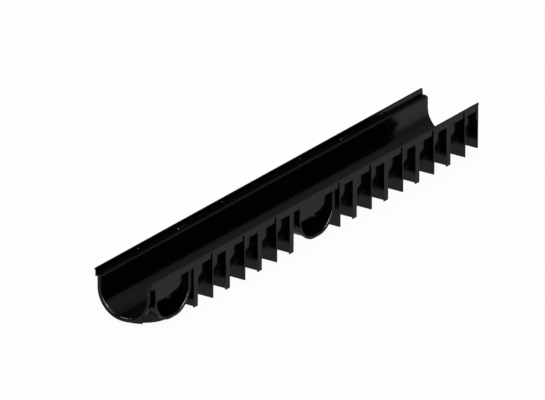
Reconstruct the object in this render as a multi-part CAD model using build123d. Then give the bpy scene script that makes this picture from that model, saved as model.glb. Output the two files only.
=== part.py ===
from build123d import *
import os

# Channel drain body, moulded in one piece. Millimetres, +X along the channel, +Z up.
# The origin is under the middle of the channel, level with the flat feet of its ribs.
# The -X end has a collar and an outlet on each side and below. Both long sides are alike.

# Overall sizes. The trough runs past the lips: as the collar at -X, as a tongue at +X.
LIP_LENGTH = 1000.0
HEIGHT = 89.0
COLLAR_LEAD = 1.0
TONGUE = 3.3
TONGUE_ROUND = 2.0

# Trough: a U with straight upper walls and a nearly round bottom. All U shapes share the
# centre from which their widths and depths are measured, down from the top of the lip.
TROUGH_HALF_WIDTH = 48.0
TROUGH_HALF_FLAT = 2.5
TROUGH_WALL = 3.0
CENTRE_DEPTH = 30.7

# Grate seat, with a sloping edge down to the trough
SEAT_DEPTH = 11.0
SEAT_WIDTH = 7.6
SEAT_EDGE_RUN = 2.2

# Lip: a bead on top, the band below it set back, the inner face sloping in at the top
LIP_TOP_WIDTH = 3.3
LIP_SLOPE_RUN = 0.8
LIP_SLOPE_DEPTH = 6.0
LIP_ROUND = 0.5
BEAD_DEPTH = 3.2
BAND_SET_BACK = 1.8
BAND_DEPTH = 14.4

# Pockets for a grate's catches: in the lip's inner face and in the corner of the seat
SNAP_LENGTH = 12.0
SNAP_HEIGHT = 3.0
SNAP_DEPTH = 1.0
SNAP_PITCH = 250.0
NOTCH_LENGTH = 25.0
NOTCH_WIDTH = 3.0
NOTCH_DEPTH = 1.0

# Cross ribs that wrap the trough and end in flat feet
RIB_PITCH = 97.1
THIN_RIB_TOP = 3.3
THIN_RIB_BOTTOM = 2.5
THIN_RIB_FROM_END = 42.85
BOX_RIB_TOP = 13.0
BOX_RIB_BOTTOM = 12.0
BOX_RIB_FROM_END = 91.9
BOX_RIB_WALL = 2.0
BOX_RIB_LIFT = 2.5
RIB_TO_RIM_GAP = 4.0

# Side outlets: U openings as wide as the trough, closed behind by its wall. Their bottoms
# are flatter, and a rim runs round each one.
OUTLET_HALF_FLAT = 7.3
RIM_WALL = 5.4
RIM_DEPTH = 3.5
RIM_ROUND = 2.8
RIM_PROUD = 0.4
MIDDLE_OUTLET_FROM_END = 500.0
END_OUTLET_GAP = 11.5

# Bottom outlet under the end one: a round spigot, closed above by the trough
SPIGOT_STEP = 1.0
SPIGOT_WALL = 3.0

# Collar at the -X end, and the curved foot between it and the spigot
COLLAR_WALL = 6.8
COLLAR_LENGTH = 7.0
COLLAR_ROUND = 3.0
FOOT_GAP = 2.4
FOOT_WALL = 3.0
FOOT_HALF_WIDTH = 28.0

# Plate at the +X end, slightly tapered, with a turned-in flange on each side
PLATE_THICKNESS = 3.0
PLATE_LIFT = 3.4
PLATE_PROUD = 0.9
PLATE_DRAFT = 0.5
FLANGE_LENGTH = 7.0
FLANGE_WALL = 2.0

# Worked out from the sizes above
NEAR_END = (COLLAR_LEAD - LIP_LENGTH - TONGUE) / 2
FAR_END = NEAR_END + LIP_LENGTH
MIDDLE = NEAR_END + LIP_LENGTH / 2
CENTRE_HEIGHT = HEIGHT - CENTRE_DEPTH
BEAD_HEIGHT = HEIGHT - BEAD_DEPTH
BAND_HEIGHT = HEIGHT - BAND_DEPTH
SEAT_HEIGHT = HEIGHT - SEAT_DEPTH
OUTER_HALF_WIDTH = TROUGH_HALF_WIDTH + TROUGH_WALL
MID_HALF_WIDTH = TROUGH_HALF_WIDTH + TROUGH_WALL / 2
COLLAR_HALF_WIDTH = TROUGH_HALF_WIDTH + COLLAR_WALL
RIM_HALF_WIDTH = TROUGH_HALF_WIDTH + RIM_WALL
SEAT_START = TROUGH_HALF_WIDTH + SEAT_EDGE_RUN
LIP_INSIDE = SEAT_START + SEAT_WIDTH
LIP_TOP_INSIDE = LIP_INSIDE + LIP_SLOPE_RUN
HALF_WIDTH = LIP_TOP_INSIDE + LIP_TOP_WIDTH
BAND_FACE = HALF_WIDTH - BAND_SET_BACK
RIM_FACE = BAND_FACE + RIM_PROUD
END_OUTLET = NEAR_END + END_OUTLET_GAP + OUTER_HALF_WIDTH
SPIGOT_RADIUS = OUTER_HALF_WIDTH - SPIGOT_STEP
OUTLET_CENTRES = (NEAR_END + MIDDLE_OUTLET_FROM_END, END_OUTLET)


def upright(half_width, bottom, top):
    """A rectangle centred on Y = 0, between two heights."""
    return Pos(0, (bottom + top) / 2) * Rectangle(2 * half_width, top - bottom)


def u_shape(half_width, top, half_flat):
    """A closed U up to the given height, with a short flat between the corners of its bottom."""
    section = upright(half_width, CENTRE_HEIGHT - half_width, top)
    return fillet(section.vertices().group_by(Axis.Y)[0], half_width - half_flat)


def trough_shape(half_width, top):
    return u_shape(half_width, top, TROUGH_HALF_FLAT)


def outlet_shape(half_width, top):
    return u_shape(half_width, top, OUTLET_HALF_FLAT)


def inner_arcs(body, axis, place, half_flat):
    """The arcs along the inside of a U, in the plane at the given place on the axis."""
    arcs = body.edges().filter_by(GeomType.CIRCLE).filter_by_position(axis, place - 0.01, place + 0.01)
    return arcs.filter_by(lambda arc: arc.radius < MID_HALF_WIDTH - half_flat)


def across(shape, start, thickness):
    """Extrude a section drawn in Y and Z along +X, from the given X."""
    return extrude(Plane.YZ.offset(start) * shape, thickness)


def sideways(shape, half_depth):
    """Extrude a section drawn in X and Z along Y, the same way to both sides."""
    return extrude(Plane.XZ * shape, half_depth, both=True)


def lip_section():
    """Section of one lip and its seat, on the +Y side."""
    outline = Polyline(
        (HALF_WIDTH, HEIGHT),
        (HALF_WIDTH, BEAD_HEIGHT),
        (BAND_FACE, BEAD_HEIGHT),
        (BAND_FACE, BAND_HEIGHT),
        (TROUGH_HALF_WIDTH, BAND_HEIGHT),
        (SEAT_START, SEAT_HEIGHT),
        (LIP_INSIDE, SEAT_HEIGHT),
        (LIP_INSIDE, HEIGHT - LIP_SLOPE_DEPTH),
        (LIP_TOP_INSIDE, HEIGHT),
        close=True,
    )
    section = make_face(outline)
    return fillet(section.vertices().sort_by(Axis.Y)[-2:], LIP_ROUND)


def lips():
    """Both lips over the length of the channel, with the pockets for a grate's catches."""
    lip = across(lip_section(), NEAR_END, LIP_LENGTH)
    snap = Pos(0, LIP_INSIDE, HEIGHT - LIP_SLOPE_DEPTH) * Box(SNAP_LENGTH, 2 * SNAP_DEPTH, SNAP_HEIGHT)
    notch = Pos(0, LIP_INSIDE - NOTCH_WIDTH / 2, SEAT_HEIGHT) * Box(
        NOTCH_LENGTH, NOTCH_WIDTH, 2 * NOTCH_DEPTH
    )
    for step in (-1.5, -0.5, 0.5, 1.5):
        lip -= Pos(MIDDLE + step * SNAP_PITCH, 0, 0) * snap
    for step in (-1, 1):
        lip -= Pos(MIDDLE + step * SNAP_PITCH, 0, 0) * notch
    return lip + mirror(lip, Plane.XZ)


def trough():
    """The U trough, from the back of the collar to the end of the tongue."""
    ring = trough_shape(OUTER_HALF_WIDTH, BAND_HEIGHT) - trough_shape(TROUGH_HALF_WIDTH, BAND_HEIGHT)
    start, end = NEAR_END - COLLAR_LEAD + COLLAR_LENGTH, FAR_END + TONGUE
    body = across(ring, start, end - start)
    return fillet(inner_arcs(body, Axis.X, end, TROUGH_HALF_FLAT), TONGUE_ROUND)


def collar():
    """The thick U rim at the -X end, rounded along its inside."""
    ring = trough_shape(COLLAR_HALF_WIDTH, BAND_HEIGHT) - trough_shape(TROUGH_HALF_WIDTH, BAND_HEIGHT)
    start = NEAR_END - COLLAR_LEAD
    body = across(ring, start, COLLAR_LENGTH)
    return fillet(inner_arcs(body, Axis.X, start, TROUGH_HALF_FLAT), COLLAR_ROUND)


def taper(top_width, bottom_width, bottom, top):
    """A symmetric section between two heights, wider at the top."""
    corners = [
        (-top_width / 2, top),
        (-bottom_width / 2, bottom),
        (bottom_width / 2, bottom),
        (top_width / 2, top),
    ]
    return make_face(Polyline(*corners, close=True))


def thin_rib():
    """A thin rib that stands proud of the band, up to the bead."""
    return sideways(taper(THIN_RIB_TOP, THIN_RIB_BOTTOM, 0, BEAD_HEIGHT), HALF_WIDTH)


def box_rib():
    """A wide rib flush with the band, hollow and open below. Only its outer ends reach the ground."""
    outside = sideways(taper(BOX_RIB_TOP, BOX_RIB_BOTTOM, 0, BAND_HEIGHT), BAND_FACE)
    gap = BOX_RIB_BOTTOM - 2 * BOX_RIB_WALL
    inside = BAND_FACE - BOX_RIB_WALL
    core = upright(inside, 0, BAND_HEIGHT - BOX_RIB_WALL) - trough_shape(MID_HALF_WIDTH, HEIGHT)
    lift = across(upright(inside, 0, BOX_RIB_LIFT), -BOX_RIB_TOP / 2, BOX_RIB_TOP)
    return outside - across(core, -gap / 2, gap) - lift


def rib_places(from_end):
    """X of each rib of one kind, apart from those that an outlet takes the place of."""
    places = []
    x = FAR_END - from_end
    while x > min(OUTLET_CENTRES):
        if all(abs(x - centre) > RIM_HALF_WIDTH + RIB_TO_RIM_GAP for centre in OUTLET_CENTRES):
            places.append(x)
        x -= RIB_PITCH
    return places


def outlet():
    """The outlets on both sides: a U duct under the trough with a rim at each side."""
    duct = outlet_shape(OUTER_HALF_WIDTH, BAND_HEIGHT) - outlet_shape(TROUGH_HALF_WIDTH, BAND_HEIGHT)
    rim = outlet_shape(RIM_HALF_WIDTH, BEAD_HEIGHT) - outlet_shape(TROUGH_HALF_WIDTH, BEAD_HEIGHT)
    rims = sideways(rim, RIM_FACE) - sideways(rim, RIM_FACE - RIM_DEPTH)
    for face in (RIM_FACE, -RIM_FACE):
        rims = fillet(inner_arcs(rims, Axis.Y, face, OUTLET_HALF_FLAT), RIM_ROUND)
    return rims + sideways(duct, RIM_FACE - RIM_DEPTH)


def spigot():
    """The round bottom outlet, up to where the trough and the side outlets close it."""
    ring = Circle(SPIGOT_RADIUS) - Circle(SPIGOT_RADIUS - SPIGOT_WALL)
    tube = extrude(ring, CENTRE_HEIGHT)
    return tube - sideways(outlet_shape(TROUGH_HALF_WIDTH, HEIGHT), HALF_WIDTH)


def foot():
    """The foot on the collar's side of the spigot, curved round it."""
    inner = SPIGOT_RADIUS + FOOT_GAP
    outer = inner + FOOT_WALL
    ring = Circle(outer) - Circle(inner)
    return extrude(ring & Pos(-outer / 2, 0) * Rectangle(outer, 2 * FOOT_HALF_WIDTH), CENTRE_HEIGHT)


def end_plate():
    """The square plate at the +X end, with its flanges."""
    top_width = 2 * (BAND_FACE + PLATE_PROUD)
    outline = taper(top_width, top_width - 2 * PLATE_DRAFT, PLATE_LIFT, BEAD_HEIGHT)
    flanges = outline & upright(HALF_WIDTH, CENTRE_HEIGHT, BEAD_HEIGHT)
    flanges -= upright(top_width / 2 - FLANGE_WALL, CENTRE_HEIGHT, BEAD_HEIGHT)
    plate = across(outline, FAR_END - PLATE_THICKNESS, PLATE_THICKNESS)
    return plate + across(flanges, FAR_END - FLANGE_LENGTH, FLANGE_LENGTH)


def keep_out():
    """All that the outer features leave free: the trough's inside and the space over the seats."""
    inside = trough_shape(MID_HALF_WIDTH, HEIGHT) + upright(
        (LIP_INSIDE + BAND_FACE) / 2, BAND_HEIGHT, HEIGHT
    )
    return across(inside, NEAR_END, LIP_LENGTH)


def channel_body():
    features = [end_plate(), Pos(END_OUTLET, 0, 0) * foot(), Pos(END_OUTLET, 0, 0) * spigot()]
    features += [Pos(x, 0, 0) * thin_rib() for x in rib_places(THIN_RIB_FROM_END)]
    features += [Pos(x, 0, 0) * box_rib() for x in rib_places(BOX_RIB_FROM_END)]
    features += [Pos(centre, 0, 0) * outlet() for centre in OUTLET_CENTRES]
    body = lips() + trough() + collar()
    inside = keep_out()
    for feature in features:
        body += feature - inside
    return body


os.makedirs("parts", exist_ok=True)
export_step(channel_body(), "parts/channel_body.step")
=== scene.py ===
import math

import bmesh
import bpy
from mathutils import Matrix, Vector


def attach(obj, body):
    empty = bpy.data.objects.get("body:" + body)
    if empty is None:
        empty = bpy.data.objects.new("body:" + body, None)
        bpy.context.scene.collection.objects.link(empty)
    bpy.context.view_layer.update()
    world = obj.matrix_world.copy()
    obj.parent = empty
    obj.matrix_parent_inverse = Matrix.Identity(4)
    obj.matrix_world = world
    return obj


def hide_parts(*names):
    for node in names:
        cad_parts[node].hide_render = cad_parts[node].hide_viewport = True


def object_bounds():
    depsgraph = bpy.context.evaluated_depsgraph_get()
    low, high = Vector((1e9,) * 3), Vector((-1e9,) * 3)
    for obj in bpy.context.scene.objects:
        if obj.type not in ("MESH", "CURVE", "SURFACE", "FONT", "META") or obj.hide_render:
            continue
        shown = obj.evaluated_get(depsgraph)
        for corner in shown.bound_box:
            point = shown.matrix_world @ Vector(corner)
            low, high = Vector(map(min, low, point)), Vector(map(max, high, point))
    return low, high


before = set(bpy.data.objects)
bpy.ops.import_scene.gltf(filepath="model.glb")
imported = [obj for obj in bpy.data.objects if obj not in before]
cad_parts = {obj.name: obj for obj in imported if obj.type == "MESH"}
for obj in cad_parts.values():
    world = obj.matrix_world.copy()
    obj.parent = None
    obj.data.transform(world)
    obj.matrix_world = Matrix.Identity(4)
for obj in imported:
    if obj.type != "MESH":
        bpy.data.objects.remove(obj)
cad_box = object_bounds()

# The one plastic that the channel is moulded from. Its roughness varies a little either way.
PLASTIC_COLOUR = (0.0004, 0.0004, 0.00042, 1.0)
PLASTIC_SPECULAR = 0.115
PLASTIC_ROUGHNESS = 0.16
ROUGHNESS_SPREAD = 0.2

# Lips: the middle of their length, where their inner faces stand and how high they reach
COLLAR_LEAD = 0.001
LIP_LENGTH = 1.0
LIP_WIDTH = 0.0041
LIPS_MIDDLE = cad_box[0][0] + COLLAR_LEAD + LIP_LENGTH / 2
LIP_INSIDE = cad_box[1][1] - LIP_WIDTH
LIP_TOP = cad_box[1][2]

# Rounded nubs in the pockets of the lips' inner faces, with offsets from the middle of the lips
NUB_OFFSETS = (-0.3735, -0.1195, 0.1195, 0.3735)
NUB_SIZE = Vector((0.0064, 0.0034, 0.0044))
NUB_CENTRE_BEHIND = 0.0001
NUB_DEPTH = 0.006

# Low bars in the corners between seats and lips, with their edges sloped off
BAR_OFFSETS = (-0.242, 0.255)
BAR_SIZE = Vector((0.026, 0.0032, 0.0032))
BAR_TOP_DEPTH = 0.0098
BAR_SLOPE = 0.0012

# Camera: where it looks from and how large the channel stands in the picture. The long lens
# keeps parallel edges nearly parallel, as in the photograph.
AZIMUTH = math.radians(-55.282)
ELEVATION = math.radians(22.547)
VIEW_WIDTH = 0.94976
LENS = 1240.0
SENSOR_WIDTH = 36.0
LOOK_AT = Vector((-0.05064, 0.0, 0.07662))

# White room: its strength as a light, and its grades where gloss mirrors it. Each grade is a
# range of the mirrored direction's height, depth or side, and what it gives at both ends.
ROOM_LIGHT = 0.8
UPPER_BY_HEIGHT = ((0.0, 0.5), (0.35, 0.6))
UPPER_BY_DEPTH = ((-0.3, 0.3), (1.0, 0.3))
LOWER_BY_SIDE = ((-0.23, 0.55), (1.5, 0.4))
UPPER_SHARE = ((-0.1, 0.1), (0.0, 1.0))

# White floor, just under the channel. Most of its white is its own glow, the rest shows shadow.
FLOOR_SIZE = 12.0
FLOOR_DROP = 0.0005
FLOOR_COLOUR = (0.8, 0.8, 0.8, 1.0)
FLOOR_ROUGHNESS = 0.9
FLOOR_GLOW = 0.95

# Strip lamps, each between two places round the channel, by azimuth and elevation in degrees
STRIPS = {
    "low_strip": ((-44, 8), (-34, 38)),
    "right_strip": ((-34, 38), (22, 52)),
    "top_strip": ((-34, 38), (-120, 75)),
    "back_strip": ((-120, 75), (-175, 30)),
}
STRIP_WIDTH = 0.6
STRIP_DISTANCE = 3.0
STRIP_RADIANCE = 60.0


def body_copy(node, merge=0.000002, flat=math.radians(0.2)):
    """The body's own shape, with its loose triangles merged into whole faces."""
    shape = bmesh.new()
    shape.from_mesh(node.data)
    bmesh.ops.remove_doubles(shape, verts=shape.verts, dist=merge)
    bmesh.ops.dissolve_limit(
        shape, angle_limit=flat, use_dissolve_boundaries=False,
        verts=shape.verts, edges=shape.edges, delimit=set(),
    )
    return shape


def on_lips(offsets, side, height, size):
    """The matrices that put a shape of unit size at each offset on both lips."""
    for offset in offsets:
        for hand in (-1, 1):
            place = Vector((LIPS_MIDDLE + offset, hand * side, height))
            yield Matrix.LocRotScale(place, None, size)


def grate_nubs():
    """Small rounded nubs that stand out of the pockets in the lips' inner faces."""
    shape = bmesh.new()
    side, height = LIP_INSIDE + NUB_CENTRE_BEHIND, LIP_TOP - NUB_DEPTH
    for matrix in on_lips(NUB_OFFSETS, side, height, NUB_SIZE):
        bmesh.ops.create_uvsphere(shape, u_segments=24, v_segments=14, radius=0.5, matrix=matrix)
    return shape


def grate_bars():
    """Low bars in the corners between the seats and the lips, sloping towards the trough."""
    shape = bmesh.new()
    height = LIP_TOP - BAR_TOP_DEPTH - BAR_SIZE.z / 2
    for matrix in on_lips(BAR_OFFSETS, LIP_INSIDE, height, BAR_SIZE):
        bmesh.ops.create_cube(shape, size=1, matrix=matrix)
    bmesh.ops.bevel(
        shape, geom=shape.edges[:], offset=BAR_SLOPE, offset_type="OFFSET", segments=1,
        profile=0.5, affect="EDGES", material=-1, clamp_overlap=True,
    )
    return shape


def moulded_piece(shape, name, plastic, crease=math.radians(20)):
    """A finished piece whose rounds are shaded smooth, and whose flats and edges stay crisp."""
    for face in shape.faces:
        face.smooth = True
    for edge in shape.edges:
        edge.smooth = edge.calc_face_angle(math.pi) < crease
    mesh = bpy.data.meshes.new(name)
    shape.to_mesh(mesh)
    shape.free()
    piece = bpy.data.objects.new(name, mesh)
    bpy.context.collection.objects.link(piece)
    shading = piece.modifiers.new("shading", "WEIGHTED_NORMAL")
    shading.keep_sharp = True
    mesh.materials.append(plastic)
    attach(piece, "root")
    return piece


def socket(group, name, kind, in_out, value=None):
    """A named input or output of a node group."""
    new = group.interface.new_socket(name=name, socket_type=kind, in_out=in_out)
    if value is not None:
        new.default_value = value


def ramp(tree, value, source, target):
    """One range of a value mapped onto another, held at both ends."""
    node = tree.nodes.new("ShaderNodeMapRange")
    tree.links.new(value, node.inputs["Value"])
    for name, number in zip(("From Min", "From Max", "To Min", "To Max"), (*source, *target)):
        node.inputs[name].default_value = number
    return node.outputs["Result"]


def blend(tree, factor, first, second):
    """A value that goes from the first to the second as the factor goes from 0 to 1."""
    node = tree.nodes.new("ShaderNodeMix")
    for name, link in (("Factor", factor), ("A", first), ("B", second)):
        tree.links.new(link, node.inputs[name])
    return node.outputs["Result"]


def calculated(tree, operation, first, second):
    """The sum, product or the like of two values."""
    node = tree.nodes.new("ShaderNodeMath")
    node.operation = operation
    tree.links.new(first, node.inputs[0])
    tree.links.new(second, node.inputs[1])
    return node.outputs[0]


def moulded_skin():
    """Node group: the slight waviness and fine grain of a moulded face."""
    group = bpy.data.node_groups.new("moulded_skin", "ShaderNodeTree")
    amounts = {"Wave Size": 60.0, "Grain Size": 900.0, "Grain": 0.15, "Strength": 0.05}
    for name, value in amounts.items():
        socket(group, name, "NodeSocketFloat", "INPUT", value)
    socket(group, "Normal", "NodeSocketVector", "OUTPUT")
    socket(group, "Mask", "NodeSocketFloat", "OUTPUT")
    nodes, links = group.nodes, group.links
    inputs, outputs = nodes.new("NodeGroupInput"), nodes.new("NodeGroupOutput")
    place = nodes.new("ShaderNodeTexCoord")
    wave, grain = nodes.new("ShaderNodeTexNoise"), nodes.new("ShaderNodeTexNoise")
    for noise, size, detail in ((wave, "Wave Size", 2.0), (grain, "Grain Size", 3.0)):
        noise.inputs["Detail"].default_value = detail
        links.new(place.outputs["Object"], noise.inputs["Vector"])
        links.new(inputs.outputs[size], noise.inputs["Scale"])
    relief = blend(group, inputs.outputs["Grain"], wave.outputs["Fac"], grain.outputs["Fac"])
    bump = nodes.new("ShaderNodeBump")
    bump.inputs["Distance"].default_value = 0.0004
    links.new(relief, bump.inputs["Height"])
    links.new(inputs.outputs["Strength"], bump.inputs["Strength"])
    links.new(bump.outputs["Normal"], outputs.inputs["Normal"])
    links.new(wave.outputs["Fac"], outputs.inputs["Mask"])
    return group


def channel_plastic(skin):
    """Glossy near-black plastic."""
    material = bpy.data.materials.new("channel_plastic")
    material.use_nodes = True
    tree = material.node_tree
    shader = tree.nodes["Principled BSDF"]
    shader.inputs["Base Color"].default_value = PLASTIC_COLOUR
    shader.inputs["Specular IOR Level"].default_value = PLASTIC_SPECULAR
    surface = tree.nodes.new("ShaderNodeGroup")
    surface.node_tree = skin
    tree.links.new(surface.outputs["Normal"], shader.inputs["Normal"])
    smoothest = PLASTIC_ROUGHNESS * (1 - ROUGHNESS_SPREAD)
    roughest = PLASTIC_ROUGHNESS * (1 + ROUGHNESS_SPREAD)
    roughness = ramp(tree, surface.outputs["Mask"], (0.0, 1.0), (smoothest, roughest))
    tree.links.new(roughness, shader.inputs["Roughness"])
    return material


def towards(azimuth, elevation):
    """The direction of a place round the channel, both angles in radians."""
    level = math.cos(elevation)
    return Vector((level * math.sin(azimuth), -level * math.cos(azimuth), math.sin(elevation)))


def new_camera():
    """The photograph's long view from above the collar end."""
    data = bpy.data.cameras.new("camera")
    data.sensor_width = SENSOR_WIDTH
    data.lens = LENS
    distance = VIEW_WIDTH * LENS / SENSOR_WIDTH
    back = towards(AZIMUTH, ELEVATION)
    data.clip_start = distance * 0.1
    data.clip_end = distance * 10
    camera = bpy.data.objects.new("camera", data)
    camera.location = LOOK_AT + back * distance
    camera.rotation_euler = back.to_track_quat("Z", "Y").to_euler()
    bpy.context.collection.objects.link(camera)
    bpy.context.scene.camera = camera


def seen_directly(tree):
    """1 for the rays that show the backdrop: the camera's, and those in gloss and glass."""
    rays = tree.nodes.new("ShaderNodeLightPath").outputs
    seen = calculated(tree, "MAXIMUM", rays["Is Camera Ray"], rays["Is Glossy Ray"])
    return calculated(tree, "MAXIMUM", seen, rays["Is Transmission Ray"])


def white_room():
    """World: white where it is seen, dimmer as a light, and graded where gloss mirrors it.

    Its upper half is darker low down and to the back. Its lower half is brightest on the
    camera's side and darkest on the side away from it.
    """
    world = bpy.data.worlds.new("white_room")
    bpy.context.scene.world = world
    world.use_nodes = True
    tree = world.node_tree
    background = tree.nodes["Background"]
    background.inputs["Color"].default_value = (1, 1, 1, 1)
    place = tree.nodes.new("ShaderNodeTexCoord")
    split = tree.nodes.new("ShaderNodeSeparateXYZ")
    tree.links.new(place.outputs["Generated"], split.inputs[0])
    x, y, z = split.outputs
    by_height = ramp(tree, z, *UPPER_BY_HEIGHT)
    by_depth = ramp(tree, y, *UPPER_BY_DEPTH)
    above = calculated(tree, "MULTIPLY", by_height, by_depth)
    below = ramp(tree, calculated(tree, "ADD", x, y), *LOWER_BY_SIDE)
    mirrored = blend(tree, ramp(tree, z, *UPPER_SHARE), below, above)
    plain = ramp(tree, seen_directly(tree), (0.0, 1.0), (ROOM_LIGHT, 1.0))
    rays = tree.nodes.new("ShaderNodeLightPath").outputs
    strength = blend(tree, rays["Is Glossy Ray"], plain, mirrored)
    tree.links.new(strength, background.inputs["Strength"])


def white_floor():
    """The pale floor. It is white where it is seen, but for a faint shadow."""
    mesh = bpy.data.meshes.new("floor")
    sheet = bmesh.new()
    bmesh.ops.create_grid(sheet, x_segments=1, y_segments=1, size=FLOOR_SIZE / 2)
    sheet.to_mesh(mesh)
    sheet.free()
    floor = bpy.data.objects.new("floor", mesh)
    bpy.context.collection.objects.link(floor)
    floor.location.z = -FLOOR_DROP
    floor.visible_glossy = False
    material = bpy.data.materials.new("floor_white")
    material.use_nodes = True
    tree = material.node_tree
    nodes, links = tree.nodes, tree.links
    shader = nodes["Principled BSDF"]
    shader.inputs["Base Color"].default_value = FLOOR_COLOUR
    shader.inputs["Roughness"].default_value = FLOOR_ROUGHNESS
    glow = nodes.new("ShaderNodeEmission")
    mix = nodes.new("ShaderNodeMixShader")
    share = ramp(tree, seen_directly(tree), (0.0, 1.0), (0.0, FLOOR_GLOW))
    links.new(share, mix.inputs["Fac"])
    links.new(shader.outputs[0], mix.inputs[1])
    links.new(glow.outputs[0], mix.inputs[2])
    links.new(mix.outputs[0], nodes["Material Output"].inputs["Surface"])
    mesh.materials.append(material)


def strip_light(name, start, end):
    """A long lamp that reaches from one place round the channel to another, seen in gloss only."""
    first, last = (towards(*map(math.radians, place)) for place in (start, end))
    way = (first + last).normalized()
    along = (last - first).normalized()
    data = bpy.data.lights.new(name, "AREA")
    data.shape = "RECTANGLE"
    data.size = 2 * STRIP_DISTANCE * math.tan(first.angle(last) / 2)
    data.size_y = STRIP_WIDTH
    data.energy = STRIP_RADIANCE * math.pi * data.size * data.size_y
    lamp = bpy.data.objects.new(name, data)
    lamp.matrix_world = Matrix((along, way.cross(along), way)).transposed().to_4x4()
    lamp.location = way * STRIP_DISTANCE
    lamp.visible_camera = False
    lamp.visible_diffuse = False
    bpy.context.collection.objects.link(lamp)


bpy.context.scene.view_settings.view_transform = "Standard"
new_camera()
white_room()
white_floor()
for name, (start, end) in STRIPS.items():
    strip_light(name, start, end)
plastic = channel_plastic(moulded_skin())
moulding = moulded_piece(body_copy(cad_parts["channel_body"]), "channel_moulding", plastic)
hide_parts("channel_body")
moulded_piece(grate_nubs(), "grate_nubs", plastic)
moulded_piece(grate_bars(), "grate_bars", plastic)
